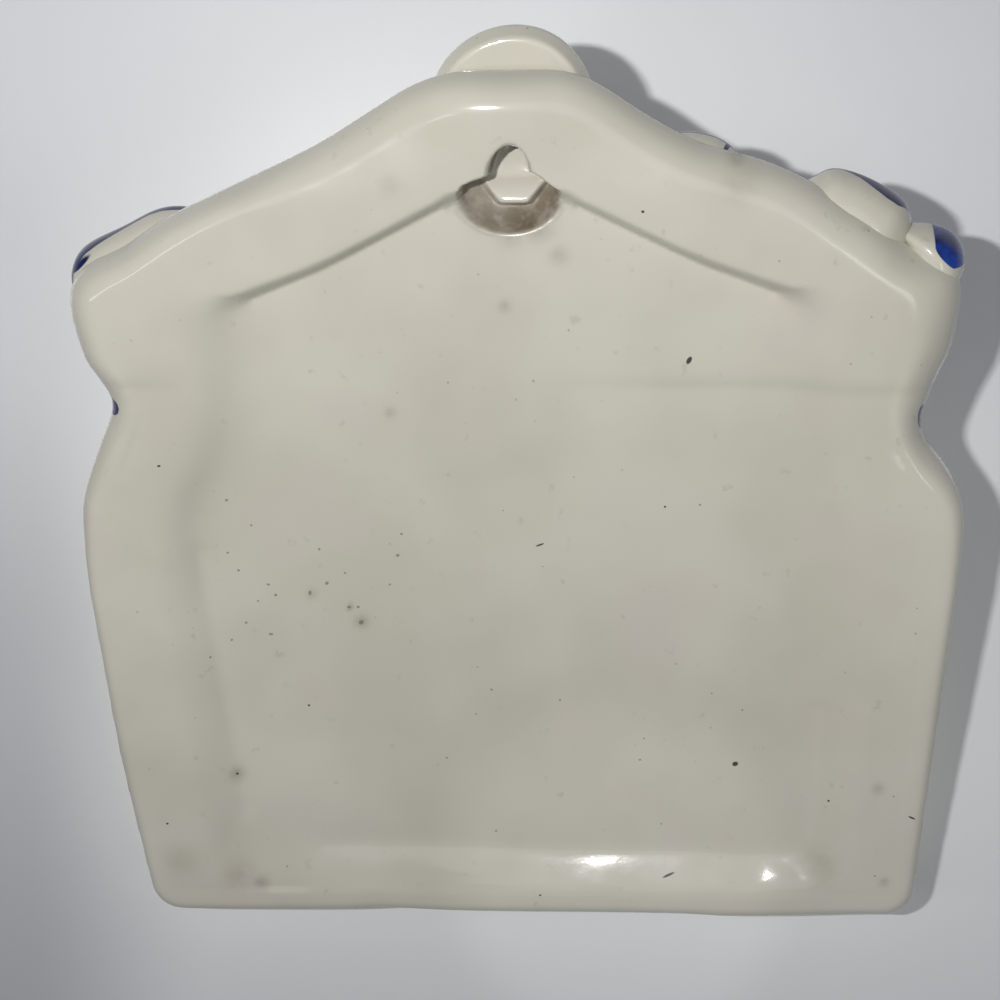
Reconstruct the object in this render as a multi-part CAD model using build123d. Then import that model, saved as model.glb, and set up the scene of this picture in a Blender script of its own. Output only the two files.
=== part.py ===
from build123d import *
import math
import os

# Hanging wall vase of glazed earthenware, in millimetres.
# Z points up as it hangs, the back lies in the plane Y = 0 and the front faces -Y.
# The origin is the centre of the hanger's arch, on the back.

# Back plate outline, bottom to top, each step measured from the corner before it
bottom_half_width = 68.6
belly_rise = 77.5
belly_swell = 8.1
waist_rise = 16.8
waist_pinch = 8.2
shoulder_rise = 9.5
shoulder_swell = 6.5
shoulder_side = 17.4
gable_rise = 19.0
crown_rise = 11.9
crown_half_width = 12.5
gable_bend_half_width = 32.0
bottom_corner_radius = 5.5
belly_radius = 14.0
waist_radius = 4.0
shoulder_low_radius = 10.0
shoulder_top_radius = 12.0
gable_bend_radius = 80.0
crown_radius = 24.0
plate_thickness = 10.5
back_edge_round = 5.0
front_edge_round = 2.5

# Rim left standing round the sunk panel of the back, and the panel's sloping sides
rim_bottom = 4.7
rim_bottom_side = 10.8
rim_belly = 16.8
rim_waist = 14.6
rim_waist_drop = 5.0
rim_shoulder = 22.0
rim_gable_end = 16.2
rim_gable = 18.5
panel_crown_half_width = 8.5
panel_depth = 3.5
panel_foot_radius = 7.0
panel_side_radius = 30.0
panel_gable_radius = 5.0
slope_bottom = 6.7
slope_side = 8.0
slope_shoulder = 4.5
slope_gable = 2.4

# Blind keyhole hanger: a round-topped slot in the rim above a half-moon scoop.
# The arch rises from the panel's top edge, and the slot is as deep as the scoop.
arch_rise = 5.4
arch_width = 6.6
arch_depth = 7.0
scoop_width = 15.4

# Pocket: its bulge is measured from the plate's front face
pocket_inset = 1.2
pocket_wall = 4.5
floor_height = 18.0
foot_bulge = 3.0
mouth_bulge = 32.0
belly_fullness = 0.8

# Rolled lip on the pocket's mouth
lip_height = 5.0
lip_out = 1.6
lip_in = 0.6
lip_round = 2.2

# Crest knob on the front of the crown
knob_radius = 14.1
knob_thickness = 9.0
knob_above_crown = 6.3
knob_back_round = 3.0
knob_front_round = 5.0

# Applied leaves, left and right as seen from the front, laid along the plate's edge.
# Starts and gaps are measured along that edge from the middle of the crown.
# The proud size is how far a leaf stands out past the edge.
right_leaf_start = 60.0
right_leaf_length = 26.5
right_leaf_width = 16.0
right_leaf_thickness = 13.0
right_leaf_proud = 1.8
left_bud_start = 28.0
left_bud_length = 16.0
left_bud_width = 11.0
left_bud_thickness = 11.0
left_bud_proud = 1.0
left_leaf_gap = 7.5
left_leaf_length = 24.0
left_leaf_width = 15.0
left_leaf_thickness = 13.0
left_leaf_proud = 3.6
left_tip_overlap = 0.8
left_tip_length = 12.5
left_tip_width = 10.0
left_tip_thickness = 10.0
left_tip_proud = 1.6
leaf_lift = 1.5

# Heights above the bottom edge and half widths that follow from the steps
belly_half_width = bottom_half_width + belly_swell
waist_height = belly_rise + waist_rise
waist_half_width = belly_half_width - waist_pinch
shoulder_low_height = waist_height + shoulder_rise
shoulder_half_width = waist_half_width + shoulder_swell
shoulder_top_height = shoulder_low_height + shoulder_side
gable_bend_height = shoulder_top_height + gable_rise
crown_height = gable_bend_height + crown_rise
panel_top_height = crown_height - rim_gable - slope_gable
hanger_height = panel_top_height + arch_rise
front_y = -plate_thickness

plate_corners = [
    (bottom_half_width, 0),
    (belly_half_width, belly_rise),
    (waist_half_width, waist_height),
    (shoulder_half_width, shoulder_low_height),
    (shoulder_half_width, shoulder_top_height),
    (gable_bend_half_width, gable_bend_height),
    (crown_half_width, crown_height),
]
plate_radii = [
    bottom_corner_radius,
    belly_radius,
    waist_radius,
    shoulder_low_radius,
    shoulder_top_radius,
    gable_bend_radius,
    crown_radius,
]


def z_at(height):
    """Z of a height above the bottom edge."""
    return height - hanger_height


def fitting_radii(points, wanted):
    """Corner radii of a closed outline, no larger than the runs beside each corner allow."""
    radii = []
    for number, radius in enumerate(wanted):
        corner = Vector(*points[number])
        run_in = corner - Vector(*points[number - 1])
        run_out = Vector(*points[(number + 1) % len(points)]) - corner
        turn = math.radians(run_in.get_angle(run_out))
        room = 0.45 * min(run_in.length, run_out.length)
        radii.append(min(radius, room / math.tan(turn / 2)))
    return radii


def outline(half_corners, half_radii, y):
    """Closed rounded outline in the plane Y = y, the same on both sides of X = 0."""
    left_corners = [(-x, height) for x, height in reversed(half_corners)]
    points = [(x, y, z_at(height)) for x, height in half_corners + left_corners]
    radii = fitting_radii(points, half_radii + half_radii[::-1])
    return Wire(FilletPolyline(*points, radius=radii, close=True).edges())


def gable_height(x):
    """Height of the gable's long straight edge above the bottom edge, at a half width x."""
    run = shoulder_half_width - gable_bend_half_width
    return shoulder_top_height + gable_rise * (shoulder_half_width - x) / run


def make_plate_blank():
    """Plate with a rounded back edge, and a front edge rounded only above the pocket's lip."""
    back_face = Face(outline(plate_corners, plate_radii, 0))
    blank = extrude(back_face, amount=plate_thickness, dir=(0, -1, 0))
    blank = fillet(blank.edges().group_by(Axis.Y)[-1], back_edge_round)
    seam_z = z_at(waist_height + lip_height)
    lower = split(blank, bisect_by=Plane((0, 0, seam_z)), keep=Keep.BOTTOM)
    upper = split(blank, bisect_by=Plane((0, 0, seam_z)), keep=Keep.TOP)
    front_edges = upper.edges().group_by(Axis.Y)[0]
    open_edges = front_edges.filter_by(lambda edge: edge.center().Z > seam_z + front_edge_round)
    return lower + fillet(open_edges, front_edge_round)


def make_panel_cut():
    """Sunk panel of the back, from the rim's inner edge at Y = 0 down to the panel's floor."""
    rim_end = shoulder_half_width - rim_shoulder
    rim_corners = [
        (bottom_half_width - rim_bottom_side, rim_bottom),
        (belly_half_width - rim_belly, belly_rise - rim_belly),
        (waist_half_width - rim_waist, waist_height - rim_waist_drop),
        (rim_end, gable_height(rim_end) - rim_gable_end),
        (gable_bend_half_width, gable_bend_height - rim_gable),
        (panel_crown_half_width, crown_height - rim_gable),
    ]
    slopes = [
        (slope_side, slope_bottom),
        (slope_side, 0),
        (slope_shoulder, 0),
        (slope_shoulder, -slope_gable),
        (0, -slope_gable),
        (0, -slope_gable),
    ]
    radii = [
        panel_foot_radius,
        panel_side_radius,
        panel_side_radius,
        panel_gable_radius,
        gable_bend_radius,
        panel_gable_radius,
    ]
    floor_corners = [(x - dx, height + dz) for (x, height), (dx, dz) in zip(rim_corners, slopes)]
    mouth = Face(outline(rim_corners, radii, 0))
    floor = Face(outline(floor_corners, radii, -panel_depth))
    return loft([mouth, floor], ruled=True)


def make_hanger_cut():
    """Slot with a round top, open below into a ball-shaped scoop in the panel."""
    slot = Pos(0, 0, -arch_rise / 2) * Box(arch_width, 2 * arch_depth, arch_rise)
    slot += Rot(90, 0, 0) * Cylinder(arch_width / 2, 2 * arch_depth)
    scoop_depth = arch_depth - panel_depth
    scoop_radius = ((scoop_width / 2) ** 2 + scoop_depth ** 2) / (2 * scoop_depth)
    ball = Pos(0, scoop_radius - arch_depth, -arch_rise) * Sphere(scoop_radius)
    return slot + split(ball, bisect_by=Plane((0, 0, -arch_rise)), keep=Keep.BOTTOM)


def side_half_width(height):
    """Half width of the plate's side up to the waist, before its corners are rounded."""
    if height < belly_rise:
        return bottom_half_width + belly_swell * height / belly_rise
    return belly_half_width - waist_pinch * (height - belly_rise) / waist_rise


def pocket_circle(height):
    """Radius of the pocket's round front at a height, and the Y of its centre."""
    half_width = side_half_width(height)
    share = (height / waist_height) ** belly_fullness
    bulge = foot_bulge + (mouth_bulge - foot_bulge) * math.sin(share * math.pi / 2)
    radius = (half_width ** 2 + bulge ** 2) / (2 * bulge)
    return radius, front_y - bulge + radius


def pocket_section(height, z, wall):
    """Level face between the pocket's round front, a wall inside it, and a line behind the plate's front."""
    radius, centre_y = pocket_circle(height)
    inner = radius - wall
    half_width = math.sqrt(inner ** 2 - (centre_y - front_y) ** 2)
    back_y = front_y / 2
    arc = ThreePointArc((half_width, front_y, z), (0, centre_y - inner, z), (-half_width, front_y, z))
    back = Polyline(
        (-half_width, front_y, z),
        (-half_width, back_y, z),
        (half_width, back_y, z),
        (half_width, front_y, z),
    )
    return Face(Wire(arc.edges() + back.edges()))


def make_pocket_shell():
    """Bellied wall, open at the top and closed behind by the plate, just inside the plate's edge."""
    steps = 6
    rise = waist_height / steps
    heights = [rise * number for number in range(steps + 1)]
    outside = loft([pocket_section(height, z_at(height), 0) for height in heights])
    rise = (waist_height - floor_height) / steps
    heights = [floor_height + rise * number for number in range(steps + 1)]
    hollow = [pocket_section(height, z_at(height), pocket_wall) for height in heights]
    hollow.append(pocket_section(waist_height, z_at(waist_height + lip_height), pocket_wall))
    plate_face = Face(outline(plate_corners, plate_radii, front_y))
    room = extrude(offset(plate_face, amount=-pocket_inset), amount=2 * mouth_bulge, dir=(0, -1, 0))
    return (outside - loft(hollow)) & room


def make_pocket_lip():
    """Rolled lip round the mouth: a turned ring cut off at the plate's front."""
    radius, centre_y = pocket_circle(waist_height)
    width = lip_in + pocket_wall + lip_out
    middle = (radius + lip_out - width / 2, z_at(waist_height) + lip_height / 2)
    profile = Plane.XZ * Pos(*middle) * Rectangle(width, lip_height)
    top_round = min(lip_round, 0.45 * width, 0.9 * lip_height)
    profile = fillet(profile.vertices().group_by(Axis.Z)[-1], top_round)
    ring = Pos(0, centre_y, 0) * revolve(profile, Axis.Z)
    return split(ring, bisect_by=Plane((0, front_y, 0), z_dir=(0, -1, 0)), keep=Keep.TOP)


def make_crest_knob():
    """Thick round boss with soft edges, flat against the plate's front."""
    knob = Rot(90, 0, 0) * Cylinder(knob_radius, knob_thickness)
    knob = fillet(knob.edges().group_by(Axis.Y)[-1], min(knob_back_round, 0.35 * knob_thickness))
    knob = fillet(knob.edges().group_by(Axis.Y)[0], min(knob_front_round, 0.6 * knob_thickness))
    middle_z = z_at(crown_height + knob_above_crown - knob_radius)
    return Pos(0, front_y - knob_thickness / 2, middle_z) * knob


def edge_path(side):
    """The plate's edge from the middle of the crown down to the bottom, on one side."""
    corners = [(0, crown_height)] + plate_corners[::-1] + [(0, 0)]
    points = [(side * x, 0, z_at(height)) for x, height in corners]
    radii = fitting_radii(points, [0] + plate_radii[::-1] + [0])
    return Wire(FilletPolyline(*points, radius=radii[1:-1]).edges())


def make_leaf(side, start, length, width, thickness, proud):
    """Long rounded leaf that lies along the plate's edge, flat against the front."""
    path = edge_path(side)
    seat = path.position_at(start + length / 2, position_mode=PositionMode.LENGTH)
    along = path.tangent_at(start + length / 2, position_mode=PositionMode.LENGTH)
    outwards = along.cross(Vector(0, side, 0))
    leaf = scale(Sphere(0.5), by=(length, width, thickness))
    leaf -= Pos(0, 0, -leaf_lift - thickness / 2) * Box(length, width, thickness)
    middle = seat + outwards * (proud - width / 2) + Vector(0, front_y - leaf_lift, 0)
    return Plane(middle, x_dir=along, z_dir=(0, -1, 0)) * leaf


left_leaf_start = left_bud_start + left_bud_length + left_leaf_gap
left_tip_start = left_leaf_start + left_leaf_length - left_tip_overlap
right_leaf = make_leaf(
    1, right_leaf_start, right_leaf_length, right_leaf_width, right_leaf_thickness, right_leaf_proud
)
left_bud = make_leaf(-1, left_bud_start, left_bud_length, left_bud_width, left_bud_thickness, left_bud_proud)
left_leaf = make_leaf(
    -1, left_leaf_start, left_leaf_length, left_leaf_width, left_leaf_thickness, left_leaf_proud
)
left_tip = make_leaf(-1, left_tip_start, left_tip_length, left_tip_width, left_tip_thickness, left_tip_proud)

# The bud and the tip give way where they would run into the leaf between them
parts = {
    "back_plate": make_plate_blank() - make_panel_cut() - make_hanger_cut(),
    "pocket_shell": make_pocket_shell(),
    "pocket_lip": make_pocket_lip(),
    "crest_knob": make_crest_knob(),
    "right_leaf": right_leaf,
    "left_bud": left_bud - left_leaf,
    "left_leaf": left_leaf,
    "left_tip": left_tip - left_leaf,
}
os.makedirs("parts", exist_ok=True)
for name, shape in parts.items():
    export_step(shape, f"parts/{name}.step")
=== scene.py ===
import math

import bmesh
import bpy
import numpy as np
from mathutils import Matrix, Vector, noise
from mathutils.kdtree import KDTree


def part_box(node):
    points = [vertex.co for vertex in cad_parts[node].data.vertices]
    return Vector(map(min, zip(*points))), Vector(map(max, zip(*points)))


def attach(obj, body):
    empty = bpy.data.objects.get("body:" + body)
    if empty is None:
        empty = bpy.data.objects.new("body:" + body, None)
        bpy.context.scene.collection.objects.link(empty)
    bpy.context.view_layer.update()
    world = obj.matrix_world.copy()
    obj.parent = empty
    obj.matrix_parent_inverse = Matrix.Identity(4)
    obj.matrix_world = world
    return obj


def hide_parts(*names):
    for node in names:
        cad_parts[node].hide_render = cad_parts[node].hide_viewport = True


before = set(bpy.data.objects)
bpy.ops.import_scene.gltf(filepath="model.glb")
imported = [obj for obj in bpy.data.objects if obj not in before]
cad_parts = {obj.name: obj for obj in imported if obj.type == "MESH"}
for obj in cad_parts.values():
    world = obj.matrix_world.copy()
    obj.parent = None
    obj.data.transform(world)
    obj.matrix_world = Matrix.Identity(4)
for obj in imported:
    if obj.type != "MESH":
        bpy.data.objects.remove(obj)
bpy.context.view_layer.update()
scene = bpy.context.scene
scene.view_settings.view_transform = "Standard"

# Back plate: the slip-cast earthenware slab that rests on the wall, ivory glazed all over.
# Its hollowed panel, hanger slot and scoop come from the mould, and the sponge and the glaze
# have rounded every edge.
mm = 0.001
plate_grain = 0.79 * mm
back_reach = -5.6 * mm

# Passes of the sponge over the whole plate and over the places that were rubbed more
plate_sponging = 2
hanger_sponging = 5
brim_sponging = 24
panel_lip_sponging = 5
side_sponging = 38
corner_sponging = 30
rim_sponging = 2

# Sunk panel: its depth, and how hollow its slope is under the gable, at the sides and at the foot
panel_sink = 3.5 * mm
soft_edge = -1.3 * mm
gable_steepness = 1.6
gable_start = -21 * mm
gable_end = -29 * mm
side_bow = 1.42
foot_bow = 1.04
corner_bow = 0.2
corner_bow_x = -45.5 * mm
corner_bow_reach = 3 * mm
glint_lift = 0.4
foot_lift = 1.6
foot_easing = 0.2

# Corners of the panel that the sponge has nearly worn away: X, Z and reach
upper_corner = (49 * mm, -27 * mm, 7 * mm)
foot_corner = (46 * mm, -125 * mm, 9 * mm)

# Faint sides of the panel: where they lie, and how low each rub went on the left and the right
faint_inner = 36 * mm
faint_outer = 68 * mm
faint_top = -23 * mm
faint_rubs = ((-54 * mm, -80 * mm), (-60 * mm, -88 * mm), (-66 * mm, -96 * mm))

# Seam of the mould across the waist, a shallow crease that runs in from both sides
crease_depth = 0.5 * mm
crease_run = 3.2 * mm
crease_return = 8.0 * mm
crease_z = -37.6 * mm
crease_tilt = 0.02
crease_left_share = 0.8

# Crown: how far its back leans away beside the middle. Unevenness: long and short waves of the clay
crown_bow = 1.6 * mm
crown_reach = 12 * mm
crown_x = 1.0 * mm
unevenness = 0.14 * mm
wave_turns = 45.0
ripple_turns = 120.0
ripple_share = 0.3

# Hanger: the reach of its shaping, and in mm the arch, the ledge at its foot and the bowl below
hanger_half = 11 * mm
hanger_low = -14 * mm
hanger_top = 7 * mm
hanger_deep = -9.9 * mm
hanger_merge = 0.08 * mm
arch_half = 3.3
arch_floor = -7.0
arch_tilt = 0.42
arch_rise = 0.8
ledge_top = -2.2
ledge_run = 3.2
ledge_slope = 1.3
ledge_bow = 0.164
ledge_x = -0.6
ledge_half = 5.0
ledge_taper = 0.75
ledge_taper_z = -3.4
panel_floor = -3.5
bowl_z = -5.0
bowl_half = 8.3
bowl_height = 6.0
bowl_depth = 5.1
scoop_flare = 5.0
scoop_height = 4.3
# Each side of the scoop: its half width at a height, and how fast it widens below
left_scoop = (2.8, 3.15, -0.97)
right_scoop = (3.78, 1.42, -0.59)

# Rounded back edge: how wide it is and how far it drops, and what the gable and shoulders add.
# The wall of the plate is drawn up to meet it.
cad_roll = 4.7 * mm
roll_limit = 0.985
wall_top = -5.0 * mm
wall_foot = -8.4 * mm
outline_top = -5.7 * mm
outline_foot = -8.6 * mm
foot_roll = 2.2 * mm
gable_width = 3.6 * mm
gable_drop = 5.2 * mm
shoulder_width = 3.8 * mm
shoulder_drop = 0.6 * mm
corner_width = -2.4 * mm
roll_spread = 16 * mm

# Sides of the panel, in mm: how far each bows outwards at these heights
side_heights = (-131, -124, -114, -104, -95, -85, -75, -66, -61, -57, -53, -49, -45)
left_reach = (0.2, 0.2, 0.4, 1.2, 1.8, 2.4, 3.6, 5.0, 5.4, 4.8, 3.0, 1.2, 0.2)
right_reach = (0.8, 0.8, 0.7, 1.1, 1.3, 1.2, 1.0, 0.7, 0.5, 0.3, 0.1, 0.0, 0.0)
foot_edge = -131.5

# Each press is the place of a bump in the outline, its reach, and how far it shifts in X and Z
presses = [
    (75.5, -22.0, 12, 1.2, 0.0),
    (74.5, -32.5, 6, -1.0, 0.0),
    (69.5, -41.5, 8, 0.5, 2.1),
    (74.0, -52.0, 9, 0.9, 0.0),
    (77.0, -60.5, 7, -0.75, 0.0),
    (76.5, -72.0, 18, 0.5, 0.0),
    (73.5, -104.0, 26, 1.2, 0.0),
    (68.5, -132.0, 14, -0.1, 0.3),
    (-69.5, -45.0, 8, 0.4, -3.0),
    (-72.5, -33.5, 7, 1.5, 0.0),
    (-75.0, -56.0, 9, 0.5, 0.0),
    (-46.0, 0.0, 12, -0.2, 0.6),
    (-20.0, 11.5, 10, 0.0, -1.4),
    (-31.0, 6.0, 9, 0.0, -1.2),
    (-1.0, 16.0, 13, -1.2, 0.0),
    (-40.0, -137.0, 14, 0.0, -0.6),
    (26.0, -137.0, 6, 0.0, 0.4),
    (35.0, -138.0, 28, 0.0, 0.4),
]

# Presses of the plate alone, where its shoulders were pared back behind the leaves
plate_presses = [
    (68.0, -12.0, 7, -0.5, -1.5),
    (-58.0, -8.0, 9, 0.0, -1.2),
    (-68.5, -13.0, 7, 1.0, -3.0),
]


def cast_copy(node, grain):
    """Merged copy of a solid, remeshed to an even grain."""
    solid = bmesh.new()
    solid.from_mesh(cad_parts[node].data)
    bmesh.ops.remove_doubles(solid, verts=solid.verts, dist=0.004 * mm)
    blank_mesh = bpy.data.meshes.new(node + "_blank")
    solid.to_mesh(blank_mesh)
    solid.free()
    blank = bpy.data.objects.new(node + "_blank", blank_mesh)
    scene.collection.objects.link(blank)
    even = blank.modifiers.new("even_grain", "REMESH")
    even.mode = "VOXEL"
    even.voxel_size = grain
    depsgraph = bpy.context.evaluated_depsgraph_get()
    cast_mesh = bpy.data.meshes.new_from_object(blank.evaluated_get(depsgraph))
    cast = bmesh.new()
    cast.from_mesh(cast_mesh)
    bpy.data.objects.remove(blank)
    bpy.data.meshes.remove(blank_mesh)
    bpy.data.meshes.remove(cast_mesh)
    return cast


def sponge(cast, passes, verts=None):
    """Rubs a cast smooth, as a damp sponge does before firing."""
    chosen = list(cast.verts) if verts is None else verts
    for _ in range(passes):
        bmesh.ops.smooth_vert(
            cast, verts=chosen, factor=0.5, use_axis_x=True, use_axis_y=True, use_axis_z=True
        )


def points_of(mesh):
    """The mesh's points as rows of X, Y and Z."""
    flat = np.empty(3 * len(mesh.vertices))
    mesh.vertices.foreach_get("co", flat)
    return flat.reshape(-1, 3)


def pressed(points, marks):
    """Shifts points as the hand that cleaned the casting did."""
    moved = points.copy()
    for x, z, reach, shift_x, shift_z in marks:
        away = (points[:, 0] - x * mm) ** 2 + (points[:, 2] - z * mm) ** 2
        share = np.exp(-away / (reach * mm) ** 2)
        moved[:, 0] += shift_x * mm * share
        moved[:, 2] += shift_z * mm * share
    return moved


def step(values, low, high):
    """Smooth rise from 0 at low to 1 at high, for arrays."""
    share = np.clip((values - low) / (high - low), 0, 1)
    return share * share * (3 - 2 * share)


def settled(cast, name, own_presses=()):
    """The cast as a smooth-shaded mesh, pressed as the others are and then on its own."""
    for face in cast.faces:
        face.smooth = True
    mesh = bpy.data.meshes.new(name)
    cast.to_mesh(mesh)
    cast.free()
    points = pressed(pressed(points_of(mesh), presses), own_presses)
    mesh.vertices.foreach_set("co", points.ravel())
    return mesh


def fixed(mesh, material, node):
    """Piece made of a mesh, in place of its solid and fixed to the body of the vase."""
    piece = bpy.data.objects.new(mesh.name, mesh)
    scene.collection.objects.link(piece)
    mesh.materials.append(material)
    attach(piece, "root")
    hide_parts(node)
    return piece


def store(mesh, name, values):
    """Keeps one number for each point of a mesh, for its material to read."""
    mesh.attributes.new(name, "FLOAT", "POINT").data.foreach_set("value", values)


def add(tree, kind, values=None, **settings):
    """New shader node with its settings and its unlinked socket values."""
    new = tree.nodes.new(kind)
    for key, value in settings.items():
        setattr(new, key, value)
    for key, value in (values or {}).items():
        new.inputs[key].default_value = value
    return new


def blend(tree, share, under, over):
    """Colour over laid on colour under, by a share. Each is a socket or a plain colour."""
    mix = add(tree, "ShaderNodeMix", data_type="RGBA")
    for spot, value in (("Factor", share), ("A", under), ("B", over)):
        if isinstance(value, bpy.types.NodeSocket):
            tree.links.new(value, mix.inputs[spot])
        else:
            mix.inputs[spot].default_value = value
    return mix.outputs["Result"]


def ramp(tree, value, low, high, to_low=0.0, to_high=1.0):
    """A socket's value spread smoothly from one range to another."""
    spread = add(
        tree,
        "ShaderNodeMapRange",
        {"From Min": low, "From Max": high, "To Min": to_low, "To Max": to_high},
        interpolation_type="SMOOTHSTEP",
    )
    tree.links.new(value, spread.inputs["Value"])
    return spread.outputs["Result"]


def grain_noise(tree, place, scale, detail, shift=0.0):
    """Noise over the piece. The scale is in turns per metre."""
    moved = add(tree, "ShaderNodeMapping", {"Location": (shift, shift, shift)})
    cloud = add(tree, "ShaderNodeTexNoise", {"Scale": scale, "Detail": detail, "Roughness": 0.55})
    tree.links.new(place, moved.inputs["Vector"])
    tree.links.new(moved.outputs["Vector"], cloud.inputs["Vector"])
    return cloud.outputs["Fac"]


def math_node(tree, operation, first, second):
    """Arithmetic on two sockets, or on a socket and a number."""
    sum_node = add(tree, "ShaderNodeMath", operation=operation)
    for spot, value in enumerate((first, second)):
        if isinstance(value, bpy.types.NodeSocket):
            tree.links.new(value, sum_node.inputs[spot])
        else:
            sum_node.inputs[spot].default_value = value
    return sum_node.outputs[0]


def number_of(tree, name):
    """The number that store() kept for each point."""
    return add(tree, "ShaderNodeAttribute", attribute_name=name).outputs["Fac"]


def ivory_glaze(name, painted=False, stained_and_shaded=False, flecks=(), specks=(), thinning=1.0):
    """Ivory glaze over pale clay: mottled tone, pinholes, brushed cobalt, stains with painted shade, and
    a wet gloss.
    """
    ivory_deep = (0.585, 0.565, 0.485, 1)
    ivory_pale = (0.655, 0.63, 0.555, 1)
    ivory_blush = (0.64, 0.585, 0.53, 1)
    pinhole_brown = (0.13, 0.10, 0.07, 1)
    stain_and_shade_brown = (0.15, 0.115, 0.075, 1)
    fleck_dark = (0.028, 0.024, 0.02, 1)
    cobalt_deep = (0.006, 0.011, 0.07, 1)
    cobalt_thin = (0.018, 0.06, 0.36, 1)
    material = bpy.data.materials.new(name)
    material.use_nodes = True
    tree = material.node_tree
    shader = tree.nodes["Principled BSDF"]
    place = add(tree, "ShaderNodeTexCoord").outputs["Object"]
    clouds = ramp(tree, grain_noise(tree, place, 24, 3), 0.32, 0.68)
    colour = blend(tree, clouds, ivory_deep, ivory_pale)
    blush = ramp(tree, grain_noise(tree, place, 45, 2, 0.7), 0.5, 0.75, 0.0, 0.6)
    colour = blend(tree, blush, colour, ivory_blush)
    cells = add(tree, "ShaderNodeTexVoronoi", {"Scale": 340.0, "Randomness": 1.0})
    tree.links.new(place, cells.inputs["Vector"])
    lot = add(tree, "ShaderNodeSeparateColor")
    tree.links.new(cells.outputs["Color"], lot.inputs["Color"])
    size = ramp(tree, lot.outputs["Red"], 0.25, 1.0, 0.0, 0.1)
    reach = math_node(tree, "SUBTRACT", size, cells.outputs["Distance"])
    faint = ramp(tree, grain_noise(tree, place, 38, 2, 0.3), 0.4, 0.66, 0.1, 0.62)
    pinhole = math_node(tree, "MULTIPLY", ramp(tree, reach, 0.0, 0.04), faint)
    colour = blend(tree, pinhole, colour, pinhole_brown)
    smudge = ramp(tree, grain_noise(tree, place, 330, 4, 0.5), 0.64, 0.76, 0.0, 0.16)
    colour = blend(tree, smudge, colour, pinhole_brown)
    # Stains: real brown dirt, together with painted shade that the plate stores for its hanger arch and
    # bowl
    if stained_and_shaded:
        ragged = ramp(tree, grain_noise(tree, place, 420, 3), 0.3, 0.62, 0.72, 1.0)
        dirt_and_shade = math_node(tree, "MULTIPLY", number_of(tree, "stain_and_shade"), ragged)
        colour = blend(tree, dirt_and_shade, colour, stain_and_shade_brown)
    for marks, tone, strength in ((flecks, fleck_dark, 0.92), (specks, pinhole_brown, 0.6)):
        nearest = None
        for x, y, z, length, width, turn in marks:
            spot = add(tree, "ShaderNodeMapping", vector_type="TEXTURE")
            spot.inputs["Location"].default_value = (x * mm, y * mm, z * mm)
            spot.inputs["Rotation"].default_value = (0, math.radians(turn), 0)
            spot.inputs["Scale"].default_value = (length * mm, 1.0 * mm, width * mm)
            tree.links.new(place, spot.inputs["Vector"])
            length_node = add(tree, "ShaderNodeVectorMath", operation="LENGTH")
            tree.links.new(spot.outputs["Vector"], length_node.inputs[0])
            away = length_node.outputs["Value"]
            nearest = away if nearest is None else math_node(tree, "MINIMUM", nearest, away)
        if nearest is not None:
            mark = ramp(tree, nearest, 1.15, 0.75, 0.0, strength)
            colour = blend(tree, mark, colour, tone)
    if painted:
        wash = ramp(tree, grain_noise(tree, place, 260, 3), 0.35, 0.7, 0.0, thinning)
        cobalt = blend(tree, wash, cobalt_deep, cobalt_thin)
        brush = ramp(tree, number_of(tree, "cobalt"), -0.1, 0.12)
        colour = blend(tree, brush, colour, cobalt)
    tree.links.new(colour, shader.inputs["Base Color"])
    gloss = ramp(tree, grain_noise(tree, place, 110, 2), 0.3, 0.7, 0.085, 0.16)
    if stained_and_shaded:
        matt = math_node(tree, "MULTIPLY", number_of(tree, "stain_and_shade"), 0.4)
        gloss = math_node(tree, "ADD", gloss, matt)
    tree.links.new(gloss, shader.inputs["Roughness"])
    swell = add(tree, "ShaderNodeBump", {"Strength": 0.12, "Distance": 1.0 * mm})
    tree.links.new(grain_noise(tree, place, 75, 2), swell.inputs["Height"])
    peel = add(tree, "ShaderNodeBump", {"Strength": 0.05, "Distance": 0.1 * mm})
    tree.links.new(grain_noise(tree, place, 1300, 1), peel.inputs["Height"])
    tree.links.new(swell.outputs["Normal"], peel.inputs["Normal"])
    tree.links.new(peel.outputs["Normal"], shader.inputs["Normal"])
    return material


def in_hanger(co):
    """True in and round the hanger, on the wall side."""
    return abs(co.x) < hanger_half and hanger_low < co.z < hanger_top and co.y > hanger_deep


def open_back(co):
    """True on the wall side of the plate, clear of the hanger."""
    return co.y > back_reach and not in_hanger(co)


def on_faint_side(co, lowest):
    """True on the upper sides of the panel, where the mould hardly marked the clay."""
    return faint_inner < abs(co.x) < faint_outer and lowest < co.z < faint_top


def on_outline(v):
    """True on the plate's outer side wall."""
    upright = abs(v.normal.y) < 0.3 and outline_foot < v.co.y < outline_top
    return upright and not in_hanger(v.co)


def rise(value, low, high):
    """Smooth rise from 0 at low to 1 at high."""
    share = min(max((value - low) / (high - low), 0.0), 1.0)
    return share * share * (3 - 2 * share)


def edge_roll(x, z):
    """Width and drop of the rounded back edge, tight at the foot and wide on the shoulders."""
    up = rise(z, -75 * mm, -30 * mm)
    shoulder = math.exp(-((x + 70 * mm) ** 2 + (z + 18 * mm) ** 2) / roll_spread**2)
    corner = math.exp(-((x - 52 * mm) ** 2 + (z + 2 * mm) ** 2) / roll_spread**2)
    width = foot_roll + gable_width * up + shoulder_width * shoulder + corner_width * corner
    drop = foot_roll + gable_drop * up + shoulder_drop * shoulder
    return width, drop


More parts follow.
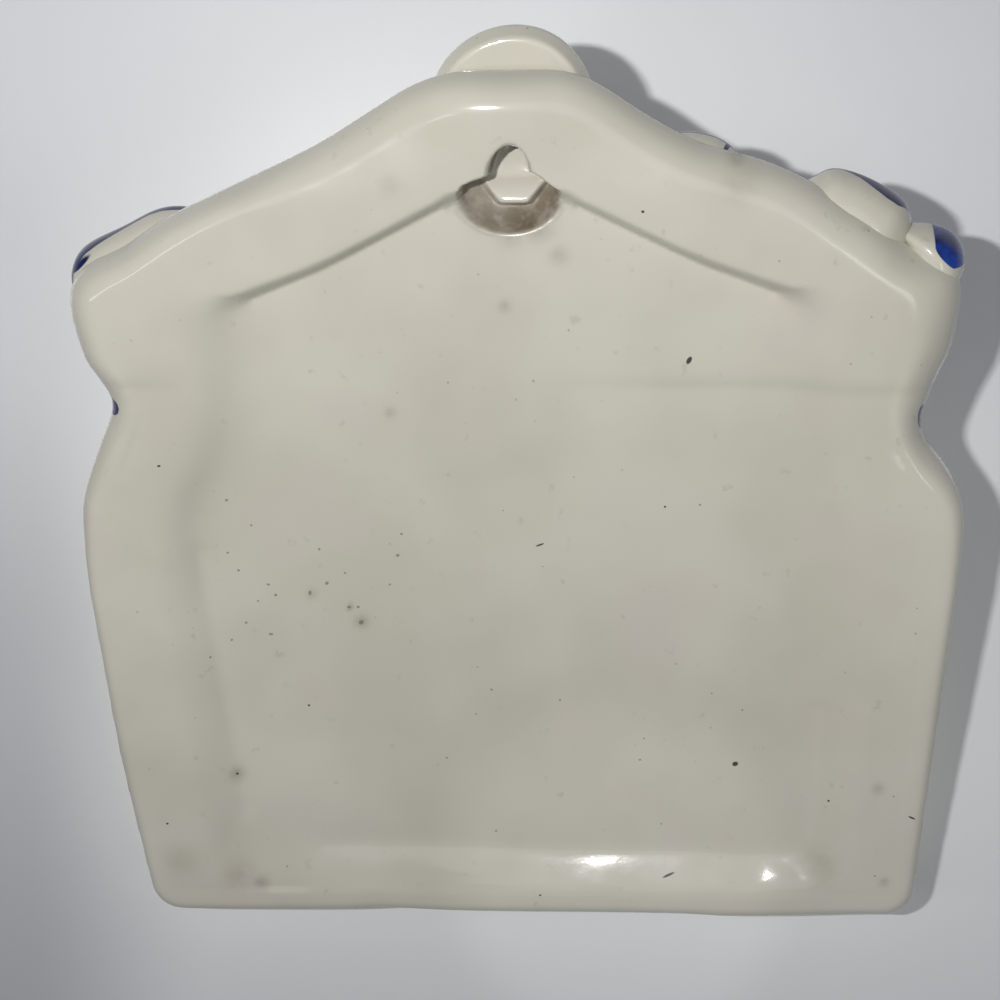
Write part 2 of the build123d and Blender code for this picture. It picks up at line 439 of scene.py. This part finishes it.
def stretched(co):
    """Bows the panel's sides outwards under the waist and eases the left of its foot slope."""
    x, y, z = co / mm
    across = abs(x)
    reach = float(np.interp(z, side_heights, left_reach if x > 0 else right_reach))
    shift = reach * rise(across, 24, 45) * rise(-across, -67, -59)
    at_foot = rise(-z, 100, 118) * rise(z, foot_edge, -129)
    eased = rise(x, -10, 22) * rise(-x, -54, -46) * at_foot
    lit = rise(x, -40, -26) * rise(-x, -16, 0) * at_foot
    z += (foot_lift * eased + glint_lift * lit) * rise(z, foot_edge, -125.6)
    return Vector((x + math.copysign(shift, x), y * (1 - foot_easing * eased), z)) * mm


def slope_bow(x, z):
    """How hollow the slope into the panel is: bowed at the sides, nearly straight at the foot."""
    corner = math.exp(-(((x - corner_bow_x) / corner_bow_reach) ** 2))
    at_foot = rise(-z, 118 * mm, 124 * mm) * rise(-abs(x), -54 * mm, -47 * mm)
    return side_bow + (foot_bow + corner_bow * corner - side_bow) * at_foot


def hollowed(co):
    """Shapes the hanger: a deep arch, a bright sloping ledge under it, and the bowl below."""
    x, y, z = co / mm
    if z > 0 and abs(x) < 7:
        z += arch_rise * rise(z, 0.2, 3.2) * rise(-z, -6.5, -4.4) * rise(-abs(x), -6.5, -3.6)
    floor = arch_floor - arch_tilt * (z - ledge_top)
    if y < -5.5 and abs(x) < 3.4 and z > -1.5:
        y += (floor - arch_floor) * rise(-y, 5.5, 6.8)
    if z > bowl_z:
        half = arch_half + scoop_flare * math.sqrt(max(0.0, 1 - ((z - bowl_z) / scoop_height) ** 2))
        near, widening, near_z = left_scoop if x > 0 else right_scoop
        half = min(half, near + widening * (near_z - z))
        away = abs(x) / max(half, 2.2) if z < -0.7 else 2.0
    else:
        away = math.hypot(x / bowl_half, (z - bowl_z) / bowl_height)
    if away < 1:
        flatness = 2 + 4 * rise(z, -4.5, -1.0)
        y = panel_floor - bowl_depth * (1 - away**flatness) ** (0.5 + 0.5 * rise(-z, 3.5, 8.5))
        ledge_side = ledge_half - ledge_taper * (ledge_taper_z - z) - abs(x - ledge_x)
        on_ledge = rise(ledge_side, -0.7, 0.9) * rise(z, -7.0, -6.2)
        down = min(max(ledge_top - z, 0.0), ledge_run)
        flat = min(max(ledge_top - ledge_run - z, 0.0), 0.9)
        ledge = floor
        if z <= ledge_top:
            ledge = arch_floor + ledge_slope * down - ledge_bow * down * down + 0.25 * flat - 0.04 * x
        y += (max(ledge, y) - y) * on_ledge
    elif z < -5.4 and y < panel_floor:
        y = panel_floor
    return Vector((x, y, z)) * mm


plate = cast_copy("back_plate", plate_grain)
sponge(plate, plate_sponging)
by_hanger = [e for e in plate.edges if all(in_hanger(v.co) for v in e.verts)]
bmesh.ops.subdivide_edges(plate, edges=by_hanger, cuts=2, use_grid_fill=True)
for v in plate.verts:
    if in_hanger(v.co):
        v.co = hollowed(v.co)
bmesh.ops.remove_doubles(
    plate, verts=[v for v in plate.verts if in_hanger(v.co)], dist=hanger_merge
)
sponge(plate, hanger_sponging, [v for v in plate.verts if in_hanger(v.co)])
bowl_brim = []
for v in plate.verts:
    out = math.hypot(v.co.x / (bowl_half * mm), (v.co.z - bowl_z * mm) / (bowl_height * mm))
    if 0.84 < out < 1.25 and v.co.z < -6.5 * mm and v.co.y > arch_floor * mm:
        bowl_brim.append(v)
sponge(plate, brim_sponging, bowl_brim)
for v in plate.verts:
    if open_back(v.co):
        v.co = stretched(v.co)
plate.normal_update()
outline = [v.co for v in plate.verts if on_outline(v)]
rim_tree = KDTree(len(outline))
for number, co in enumerate(outline):
    rim_tree.insert((co.x, 0, co.z), number)
rim_tree.balance()
for v in plate.verts:
    depth = -v.co.y / panel_sink
    if open_back(v.co) and 0 < depth < 1 and rim_tree.find((v.co.x, 0, v.co.z))[2] > cad_roll:
        steep = min(max(0.5 + gable_steepness * (depth - 0.5), 0.0), 1.0)
        bowed = depth ** slope_bow(v.co.x, v.co.z)
        v.co.y = -panel_sink * (bowed + (steep - bowed) * rise(v.co.z, gable_end, gable_start))
panel_lip = [v for v in plate.verts if open_back(v.co) and v.co.y > soft_edge]
sponge(plate, panel_lip_sponging, panel_lip)
for lowest_left, lowest_right in faint_rubs:
    faint_sides = [
        v
        for v in plate.verts
        if open_back(v.co) and on_faint_side(v.co, lowest_left if v.co.x > 0 else lowest_right)
    ]
    sponge(plate, side_sponging, faint_sides)
corner_x, corner_z, corner_reach = upper_corner
worn = [
    v
    for v in plate.verts
    if open_back(v.co) and math.hypot(abs(v.co.x) - corner_x, v.co.z - corner_z) < corner_reach
]
sponge(plate, corner_sponging, worn)
corner_x, corner_z, corner_reach = foot_corner
worn = [
    v
    for v in plate.verts
    if open_back(v.co) and math.hypot(v.co.x - corner_x, v.co.z - corner_z) < corner_reach
]
sponge(plate, corner_sponging, worn)
rim = []
for v in plate.verts:
    if v.co.y > wall_foot and not in_hanger(v.co):
        away = rim_tree.find((v.co.x, 0, v.co.z))[2]
        width, drop = edge_roll(v.co.x, v.co.z)
        if away < max(width, cad_roll):
            if v.co.y < wall_top:
                share = (v.co.y - wall_foot) / (wall_top - wall_foot)
                roll_end = -drop * (1 - math.sqrt(1 - roll_limit * roll_limit))
                v.co.y = wall_foot + (roll_end - wall_foot) * share
            else:
                share = min(max(0.0, 1 - away / width), roll_limit)
                v.co.y = -drop * (1 - math.sqrt(1 - share * share))
            rim.append(v)
sponge(plate, rim_sponging, rim)
plate_mesh = settled(plate, "back_plate_cast", plate_presses)
spots = points_of(plate_mesh)
x, y, z = spots.T
above = z - crease_z - crease_tilt * x
dip = np.clip(1 - above / crease_run, 0, 1) ** 2
groove = np.where(above > 0, dip, np.exp(above / crease_return))
strength = step(-x, 0 * mm, 26 * mm) + crease_left_share * step(x, 52 * mm, 64 * mm)
on_back = step(y, back_reach, back_reach + 1.5 * mm)
spots[:, 1] -= crease_depth * groove * strength * on_back
crown_share = step(z, -8 * mm, 11 * mm) * np.clip(1 - y / wall_foot, 0, 1)
spots[:, 1] -= crown_bow * (1 - np.exp(-(((x - crown_x) / crown_reach) ** 2))) * crown_share
waves = np.array([noise.noise(Vector(p) * wave_turns) for p in spots])
ripples = np.array([noise.noise(Vector(p) * ripple_turns) for p in spots])
spots[:, 1] += unevenness * (waves + ripple_share * ripples) * on_back
plate_mesh.vertices.foreach_set("co", spots.ravel())

# Stain places: X and Z of the middle, how far it spreads, and how strong it is
stains = [
    (-4.5, -9.5, 2.6, 0.5),
    (0.0, -10.6, 2.4, 0.4),
    (5.0, -8.5, 2.2, 0.3),
    (-8.0, -15.0, 1.6, 0.3),
    (1.3, -23.5, 1.0, 0.35),
    (-38.0, -3.0, 3.2, 0.22),
    (-37.5, 0.8, 1.6, 0.4),
    (19.3, -1.8, 1.6, 0.2),
    (28.3, -80.4, 1.2, 0.42),
    (30.3, -77.6, 0.6, 0.5),
    (52.3, -109.6, 1.3, 0.45),
    (53.0, -128.7, 3.0, 0.3),
    (49.0, -130.5, 1.6, 0.4),
    (63.4, -125.7, 3.0, 0.22),
    (-52.0, -127.0, 3.6, 0.25),
    (-62.2, -111.1, 1.0, 0.35),
    (-63.6, -129.4, 0.8, 0.4),
    (21.5, -41.9, 0.9, 0.3),
    (37.0, -75.1, 0.9, 0.3),
]
stain_and_shade = np.zeros(len(spots))
for at_x, at_z, spread, amount in stains:
    away = (x - at_x * mm) ** 2 + (z - at_z * mm) ** 2
    stain_and_shade = np.maximum(stain_and_shade, amount * np.exp(-away / (spread * mm) ** 2))
# Hanger bowl: browned all over, partly real dirt and partly painted shade of the deep bowl, darker on
# its -X side and towards its foot
in_bowl = step(-y, 3.5 * mm, 4.8 * mm) * step(-np.abs(x), -9.5 * mm, -8.8 * mm)
bowl_out = np.hypot(x / bowl_half, (z - bowl_z * mm) / bowl_height)
low_bowl = step(-bowl_out, -1.16 * mm, -0.95 * mm) * step(-z, 5 * mm, 7 * mm)
in_bowl = np.maximum(in_bowl, low_bowl)
in_bowl = in_bowl * step(-z, 1.5 * mm, 3.5 * mm) * step(z, -15 * mm, -13 * mm)
ledge_side = ledge_half * mm - ledge_taper * (ledge_taper_z * mm - z) - np.abs(x - ledge_x * mm)
on_ledge = step(ledge_side, -0.5 * mm, 0.6 * mm) * step(z, -6.9 * mm, -6.3 * mm)
browning_and_shade = 0.68 + 0.2 * step(-x, -3 * mm, 4 * mm) + 0.12 * step(-z, 6.5 * mm, 10 * mm)
stain_and_shade = np.maximum(stain_and_shade, browning_and_shade * in_bowl * (1 - on_ledge))
on_brim = step(bowl_out, 0.88 * mm, 0.98 * mm) * step(-bowl_out, -1.22 * mm, -1.1 * mm)
on_brim = on_brim * step(-z, 6 * mm, 7.5 * mm)
stain_and_shade = np.maximum(stain_and_shade, 0.28 * on_brim * step(np.abs(x - ledge_x * mm), 1.2 * mm, 3.0 * mm))
# Painted shade: the upright walls inside the hanger's arch are darkened with the stain colour, standing
# in for the shadow in the slot
facing = np.empty(3 * len(spots))
plate_mesh.vertices.foreach_get("normal", facing)
upright = step(-facing.reshape(-1, 3)[:, 1], -0.6, -0.3) * step(-np.abs(x), -4.5 * mm, -4.1 * mm)
arch_painted_shade = upright * step(-y, 0.6 * mm, 1.6 * mm) * step(z, -2 * mm, -0.5 * mm)
arch_painted_shade = arch_painted_shade * step(-z, -6.5 * mm, -5.5 * mm)
stain_and_shade = np.maximum(stain_and_shade, 0.75 * arch_painted_shade)
store(plate_mesh, "stain_and_shade", stain_and_shade * step(y, -10.0 * mm, -9.5 * mm))

# Dark flecks and brown specks of the glaze: X, Y and Z, half length, half width and turn
plate_flecks = [
    (-29.5, -3.5, -33.3, 0.75, 0.4, 60),
    (-37.2, -3.5, -107.9, 0.55, 0.45, 20),
    (-3.5, -3.5, -66.2, 0.8, 0.16, 20),
    (55.6, -2.0, -77.3, 0.34, 0.24, 40),
    (51.6, -2.2, -71.8, 0.3, 0.25, 0),
    (50.6, -2.2, -57.5, 0.22, 0.2, 0),
    (61.5, 0.0, -50.1, 0.32, 0.2, 10),
    (52.3, -2.4, -109.6, 0.3, 0.28, 0),
    (65.2, 0.0, -118.2, 0.25, 0.2, 0),
    (53.0, -2.6, -128.7, 0.26, 0.22, 0),
    (-53.7, -2.6, -114.4, 0.3, 0.26, 0),
    (-68.2, 0.0, -116.7, 0.7, 0.18, -25),
    (-25.1, -1.8, -129.0, 1.3, 0.22, 22),
    (-2.0, -0.6, -132.4, 0.26, 0.22, 0),
    (66.5, 0.0, -14.8, 0.28, 0.26, 0),
    (-22.1, 0.0, -7.0, 0.28, 0.24, 0),
    (38.6, -3.5, -96.4, 0.22, 0.2, 0),
    (-25.2, -3.5, -59.4, 0.2, 0.2, 0),
]
plate_specks = [
    (50.8, -3.4, -57.5, 0.30, 0.25, 0),
    (46.8, -3.4, -62.2, 0.22, 0.20, 0),
    (51.3, -3.4, -67.3, 0.25, 0.20, 0),
    (49.6, -3.4, -70.6, 0.28, 0.24, 0),
    (44.5, -3.4, -73.3, 0.35, 0.20, -20),
    (37.2, -3.4, -74.9, 0.45, 0.28, 80),
    (34.1, -3.4, -73.1, 0.40, 0.28, 40),
    (43.3, -3.4, -75.3, 0.30, 0.25, 30),
    (30.4, -3.4, -77.6, 0.36, 0.26, 0),
    (28.8, -3.4, -77.6, 0.30, 0.25, 0),
    (28.4, -3.4, -80.5, 0.50, 0.40, 30),
    (48.9, -3.4, -80.5, 0.28, 0.22, 0),
    (44.6, -3.4, -82.7, 0.45, 0.22, 0),
    (21.4, -3.4, -68.0, 0.30, 0.25, 30),
    (30.8, -3.4, -71.2, 0.22, 0.20, 0),
    (46.5, -3.4, -76.4, 0.20, 0.20, 0),
    (51.7, -3.4, -83.8, 0.28, 0.20, 60),
    (-31.2, -3.4, -59.1, 0.25, 0.20, 0),
    (-6.3, -3.4, -95.5, 0.22, 0.20, 0),
    (-20.3, -3.4, -107.1, 0.25, 0.20, 20),
]


def strokes_field(points, strokes):
    """How far, in mm, points lie inside brush strokes: X, Z, half length, half width, turn."""
    inside = np.full(len(points), -9.0)
    for at_x, at_z, length, width, turn in strokes:
        angle = math.radians(turn)
        across = points[:, 0] / mm - at_x
        upward = points[:, 2] / mm - at_z
        along = across * math.cos(angle) + upward * math.sin(angle)
        aside = upward * math.cos(angle) - across * math.sin(angle)
        round_off = np.sqrt((along / length) ** 2 + (aside / width) ** 2)
        inside = np.maximum(inside, (1 - round_off) * width)
    return inside


edge_dabs = [(69.6, -40.3, 1.6, 1.5, 0), (-68.6, -43.8, 0.8, 2.2, 0), (-75.2, -24.0, 0.5, 1.8, 0)]
store(plate_mesh, "cobalt", strokes_field(spots, edge_dabs))
plate_glaze = ivory_glaze(
    "plate_ivory", painted=True, stained_and_shaded=True, flecks=plate_flecks, specks=plate_specks, thinning=0.15
)
fixed(plate_mesh, plate_glaze, "back_plate")

# Pocket shell: the hollow belly that holds the flowers, cast in one with the plate.
# The same ivory glaze covers it inside and out, with a cobalt sprig brushed on its front.
shell_grain = 0.8 * mm
shell_sponging = 6
shell_tuck = 2.2 * mm
shell = cast_copy("pocket_shell", shell_grain)
sponge(shell, shell_sponging)
for v in shell.verts:
    v.co.y += shell_tuck * rise(v.co.y, -14 * mm, -11 * mm)
shell_mesh = settled(shell, "pocket_shell_cast")


def blossom(at_x, at_z, petals, reach, width, turn=90.0):
    """Strokes of a plain flower seen from the front, with a dot at its heart."""
    strokes = [(at_x, at_z, 0.32 * reach, 0.32 * reach, 0)]
    for number in range(petals):
        angle = turn + 360.0 * number / petals
        far = 1.25 * reach
        petal_x = at_x + far * math.cos(math.radians(angle))
        petal_z = at_z + far * math.sin(math.radians(angle))
        strokes.append((petal_x, petal_z, 0.62 * reach, width, angle))
    return strokes


def stem(start, bend, end, width):
    """Strokes that follow a bowed line, for the stalk of a flower."""
    pieces = 9
    line = []
    for number in range(pieces + 1):
        along = number / pieces
        first, second, third = (1 - along) ** 2, 2 * along * (1 - along), along**2
        line.append([first * p + second * q + third * r for p, q, r in zip(start, bend, end)])
    strokes = []
    for (x1, z1), (x2, z2) in zip(line, line[1:]):
        angle = math.degrees(math.atan2(z2 - z1, x2 - x1))
        length = 0.95 * math.hypot(x2 - x1, z2 - z1)
        strokes.append(((x1 + x2) / 2, (z1 + z2) / 2, length, width, angle))
    return strokes


sprig = blossom(0, -76, 6, 7.5, 3.0) + stem((0, -123), (4, -106), (0, -90), 1.0)
for side in (-1, 1):
    sprig += blossom(side * 35, -71, 5, 5.4, 2.4)
    sprig += stem((0, -120), (side * 32, -113), (side * 34.5, -78), 1.0)
    sprig += stem((side * 22, -109), (side * 44, -108), (side * 52, -94), 0.9)
    sprig += [
        (side * 53.5, -90, 4.0, 2.3, 90 - side * 25),
        (side * 21, -118.5, 6.5, 2.3, -side * 14),
        (side * 16.5, -105, 6.0, 2.2, 90 - side * 28),
        (side * 27.5, -93, 6.0, 2.2, 90 + side * 32),
        (side * 43, -101, 4.6, 1.8, 90 - side * 8),
        (side * 6.5, -101, 5.5, 1.9, 90 - side * 38),
        (side * 18, -60, 1.4, 1.4, 0),
        (side * 21.5, -56, 1.2, 1.2, 0),
        (side * 14.5, -56, 1.2, 1.2, 0),
    ]
shell_spots = points_of(shell_mesh)
shell_normals = np.empty(3 * len(shell_mesh.vertices))
shell_mesh.vertices.foreach_get("normal", shell_normals)
faces_front = -shell_normals.reshape(-1, 3)[:, 1]
store(shell_mesh, "cobalt", np.where(faces_front > 0.05, strokes_field(shell_spots, sprig), -9.0))
fixed(shell_mesh, ivory_glaze("pocket_ivory", painted=True), "pocket_shell")

# Pocket lip: the thick rolled rim of the mouth, a coil of the same clay.
# It is luted on before firing and brushed all round with cobalt blue.
lip_grain = 0.6 * mm
lip_rounding = 4
rolled = cast_copy("pocket_lip", lip_grain)
sponge(rolled, lip_rounding)
lip_mesh = settled(rolled, "pocket_lip_cast")
store(lip_mesh, "cobalt", np.full(len(lip_mesh.vertices), 1.0))
fixed(lip_mesh, ivory_glaze("lip_cobalt", painted=True), "pocket_lip")

# Crest knob: the round boss that stands over the crown, pressed on before firing.
# Ivory glazed, with a small cobalt flower on its front.
knob_grain = 0.5 * mm
knob_sponging = 3
knob_face = 12.6 * mm
knob_bevel = 2.0
knob_back_round = 3.1 * mm
boss = cast_copy("crest_knob", knob_grain)
knob_low, knob_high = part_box("crest_knob")
knob_z = (knob_low.z + knob_high.z) / 2 / mm
for v in boss.verts:
    if v.co.y > knob_high.y - knob_back_round:
        outside = math.hypot(v.co.x, v.co.z - knob_z * mm) - knob_face
        v.co.y = knob_high.y - knob_bevel * max(0.0, outside)
sponge(boss, knob_sponging)
knob_mesh = settled(boss, "crest_knob_cast")
knob_spots = points_of(knob_mesh)
flower = blossom(0, knob_z, 6, 5.0, 2.0)
on_front = knob_spots[:, 1] < knob_low.y + 4 * mm
store(knob_mesh, "cobalt", np.where(on_front, strokes_field(knob_spots, flower), -9.0))
fixed(knob_mesh, ivory_glaze("knob_ivory", painted=True), "crest_knob")

# Leaves and bud: small applied ornaments along the shoulders, pressed on before firing.
# Their backs are rounded over into the edge of the plate, and cobalt runs along their rims.
leaf_front = -10.5 * mm
leaf_grain = 0.42 * mm
leaf_cleaning = 2
leaf_sponging = 8
leaf_dome = {"right_leaf": 5.6 * mm, "left_bud": 4.0 * mm, "left_leaf": 6.4 * mm, "left_tip": 6.2 * mm}
leaf_presses = {
    "right_leaf": [
        (64.0, -8.0, 40, -2.0, 1.2),
        (73.5, -15.5, 5, 1.3, -0.2),
        (69.0, -12.0, 6, -0.8, -0.9),
    ],
    "left_bud": [],
    "left_leaf": [(-48.0, -3.5, 5, -2.5, -0.4), (-66.0, -13.5, 5, 1.0, 2.2)],
    "left_tip": [(-72.0, -15.0, 12, -0.6, 0.8), (-67.5, -13.0, 4.5, 3.8, -0.4)],
}
for node, dome in leaf_dome.items():
    leaf = cast_copy(node, leaf_grain)
    sponge(leaf, leaf_cleaning)
    flat = [v for v in leaf.verts if v.co.y > leaf_front - 0.3 * mm]
    brim = [v.co for v in leaf.verts if leaf_front - 1.0 * mm < v.co.y < leaf_front - 0.25 * mm]
    brim_tree = KDTree(len(brim))
    for number, co in enumerate(brim):
        brim_tree.insert((co.x, 0, co.z), number)
    brim_tree.balance()
    away = [brim_tree.find((v.co.x, 0, v.co.z))[2] for v in flat]
    widest = max(away)
    for v, inset in zip(flat, away):
        share = 1 - inset / widest
        v.co.y += dome * math.sqrt(1 - share * share)
    sponge(leaf, leaf_sponging)
    leaf_mesh = settled(leaf, node + "_cast", leaf_presses[node])
    leaf_spots = points_of(leaf_mesh)
    x, y, z = leaf_spots.T / mm
    if node == "right_leaf":
        edge = -10.3 + 2.3 * step(x, 65, 75) - y
        cobalt = np.maximum(edge, strokes_field(leaf_spots, [(74.2, -16.4, 2.8, 0.5, -41)]))
    elif node == "left_bud":
        cobalt = np.maximum(-11.4 - y, strokes_field(leaf_spots, [(-36.2, 1.6, 1.0, 0.4, -30)]))
    elif node == "left_leaf":
        cobalt = -11.8 + 4.0 * step(-x, 54, 63) * step(x, -68, -64) - y
    else:
        slant = 3.5 * np.clip((-15.0 - z) / 4.0, 0, 1.5) ** 1.5
        cobalt = np.maximum(np.minimum(-70.2 - slant - x, z + 18.6), -12.0 - y)
    store(leaf_mesh, "cobalt", cobalt)
    leaf_glaze = ivory_glaze(node + "_glaze", painted=True, thinning=1.0 if node == "left_tip" else 0.2)
    fixed(leaf_mesh, leaf_glaze, node)

# Sheet: the pale glossy table sheet that the vase lies on, face down on its lip and foot.
# Seen from underneath it is clear, so that the front of the vase shows.
sheet_tilt = math.radians(17.4)
sheet_half = 0.9
sheet_grey = (0.59, 0.605, 0.64, 1)
sheet_pale = (0.66, 0.675, 0.71, 1)
# The two tones below are painted: a lighter one for painted light towards the foot, a darker one for
# painted shade on the left
sheet_painted_light = (0.80, 0.81, 0.83, 1)
sheet_painted_shade = (0.38, 0.39, 0.42, 1)
sheet_gloss = 0.32
sheet_up = Vector((0, math.cos(sheet_tilt), math.sin(sheet_tilt)))
touch = min(
    sheet_up.dot(v.co)
    for node in ("pocket_lip", "pocket_shell", "back_plate")
    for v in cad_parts[node].data.vertices
)
level = bmesh.new()
bmesh.ops.create_grid(level, x_segments=1, y_segments=1, size=sheet_half)
upright = sheet_up.to_track_quat("Z", "X").to_matrix()
bmesh.ops.rotate(level, verts=level.verts, matrix=upright, cent=(0, 0, 0))
bmesh.ops.translate(level, verts=level.verts, vec=sheet_up * touch)
sheet_mesh = bpy.data.meshes.new("table_sheet")
level.to_mesh(sheet_mesh)
level.free()
sheet = bpy.data.objects.new("table_sheet", sheet_mesh)
scene.collection.objects.link(sheet)
sheet_finish = bpy.data.materials.new("sheet_finish")
sheet_finish.use_nodes = True
tree = sheet_finish.node_tree
shader = tree.nodes["Principled BSDF"]
place = add(tree, "ShaderNodeTexCoord").outputs["Object"]
shade = ramp(tree, grain_noise(tree, place, 7, 2), 0.35, 0.65)
tone = blend(tree, shade, sheet_grey, sheet_pale)
along = add(tree, "ShaderNodeSeparateXYZ")
tree.links.new(place, along.inputs["Vector"])
# Painted light: the sheet's tone grows lighter towards and past the vase's foot
painted_light_low = ramp(tree, along.outputs["Z"], -0.02, -0.16, 0.0, 0.45)
tone = blend(tree, painted_light_low, tone, sheet_painted_light)
# Painted shade: the sheet's tone darkens beyond the vase's +X side, below its waist
painted_shade_left = ramp(tree, along.outputs["X"], 0.06, 0.10)
painted_shade_left = math_node(tree, "MULTIPLY", painted_shade_left, ramp(tree, along.outputs["Z"], -0.02, -0.10, 0.05, 0.8))
tone = blend(tree, painted_shade_left, tone, sheet_painted_shade)
tree.links.new(tone, shader.inputs["Base Color"])
shader.inputs["Roughness"].default_value = sheet_gloss
side = add(tree, "ShaderNodeNewGeometry")
rays = add(tree, "ShaderNodeLightPath")
through = math_node(tree, "MAXIMUM", side.outputs["Backfacing"], rays.outputs["Is Shadow Ray"])
clear = add(tree, "ShaderNodeBsdfTransparent")
choice = add(tree, "ShaderNodeMixShader")
tree.links.new(through, choice.inputs[0])
tree.links.new(shader.outputs[0], choice.inputs[1])
tree.links.new(clear.outputs[0], choice.inputs[2])
tree.links.new(choice.outputs[0], tree.nodes["Material Output"].inputs["Surface"])
sheet_mesh.materials.append(sheet_finish)

# Room: a pale dim surround, one small lamp left of the camera that throws the crisp shadow,
# a tiny one by the lens for the glints, and soft ones from above and in front.
aim = Vector((0.0029, 0, -0.0567))
world = bpy.data.worlds.new("pale_room")
scene.world = world
world.use_nodes = True
tree = world.node_tree
surround = tree.nodes["Background"]
surround.inputs["Color"].default_value = (0.90, 0.95, 1.0, 1)
surround.inputs["Strength"].default_value = 0.12
seen = add(tree, "ShaderNodeBackground", {"Color": (0.74, 0.75, 0.77, 1), "Strength": 1.0})
rays = add(tree, "ShaderNodeLightPath")
choice = add(tree, "ShaderNodeMixShader")
tree.links.new(rays.outputs["Is Camera Ray"], choice.inputs[0])
tree.links.new(surround.outputs[0], choice.inputs[1])
tree.links.new(seen.outputs[0], choice.inputs[2])
tree.links.new(choice.outputs[0], tree.nodes["World Output"].inputs["Surface"])


def lamp(name, spot, target, width, height, power, tint):
    """Rectangular lamp at a spot, turned to a target."""
    light = bpy.data.lights.new(name, "AREA")
    light.shape = "RECTANGLE"
    light.size = width
    light.size_y = height
    light.energy = power
    light.color = tint
    holder = bpy.data.objects.new(name, light)
    holder.location = spot
    holder.rotation_mode = "QUATERNION"
    holder.rotation_quaternion = (Vector(target) - Vector(spot)).to_track_quat("-Z", "Y")
    scene.collection.objects.link(holder)


lamp("shadow_lamp", (0.08, 0.48, 0.13), (0, 0, 0.6), 0.02, 0.02, 3.5, (1.0, 0.985, 0.95))
lamp("fill_lamp", (-0.02, 0.95, 0.28), aim, 0.9, 0.6, 1.3, (0.97, 0.985, 1.0))
lamp("left_window", (0.363, 0.474, 0.003), aim, 0.36, 0.035, 0.22, (1.0, 1.0, 1.0))
lamp("right_window", (-0.222, 0.552, -0.057), aim, 0.10, 0.16, 0.16, (1.0, 1.0, 1.0))
glint = bpy.data.lights.new("glint_lamp", "SPOT")
glint.energy = 0.7
glint.spot_size = math.radians(9)
glint.spot_blend = 0.6
glint.shadow_soft_size = 3 * mm
glint_lamp = bpy.data.objects.new("glint_lamp", glint)
glint_lamp.location = (0.001, 0.40, 0.08)
glint_aim = Vector((-0.015, 0, -0.128))
glint_lamp.rotation_mode = "QUATERNION"
glint_lamp.rotation_quaternion = (glint_aim - glint_lamp.location).to_track_quat("-Z", "Y")
scene.collection.objects.link(glint_lamp)
lamp("front_lamp", (0.42, -0.85, -0.06), aim, 0.5, 0.5, 8.0, (1.0, 0.99, 0.97))
lamp("front_window", (-0.25, -0.8, -0.45), aim, 0.2, 0.25, 0.8, (1.0, 1.0, 1.0))

# Camera: looks down on the back of the vase, a little from the right, through a long lens.
# It aims at the middle of the plate and is rolled slightly, so the foot runs downhill.
camera_turn = math.radians(4.5)
camera_lift = math.radians(19.0)
camera_roll = math.radians(-1.9)
camera_reach = 0.42
level_back = math.cos(camera_lift)
camera_back = Vector(
    (
        -math.sin(camera_turn) * level_back,
        math.cos(camera_turn) * level_back,
        math.sin(camera_lift),
    )
)
camera = bpy.data.objects.new("camera", bpy.data.cameras.new("camera"))
camera.data.lens = 88.45
camera.data.sensor_width = 36.0
camera.data.clip_start = 0.01
camera.location = aim + camera_back * camera_reach
facing = camera_back.to_track_quat("Z", "Y").to_matrix()
camera.rotation_mode = "QUATERNION"
camera.rotation_quaternion = (facing @ Matrix.Rotation(camera_roll, 3, "Z")).to_quaternion()
scene.collection.objects.link(camera)
scene.camera = camera
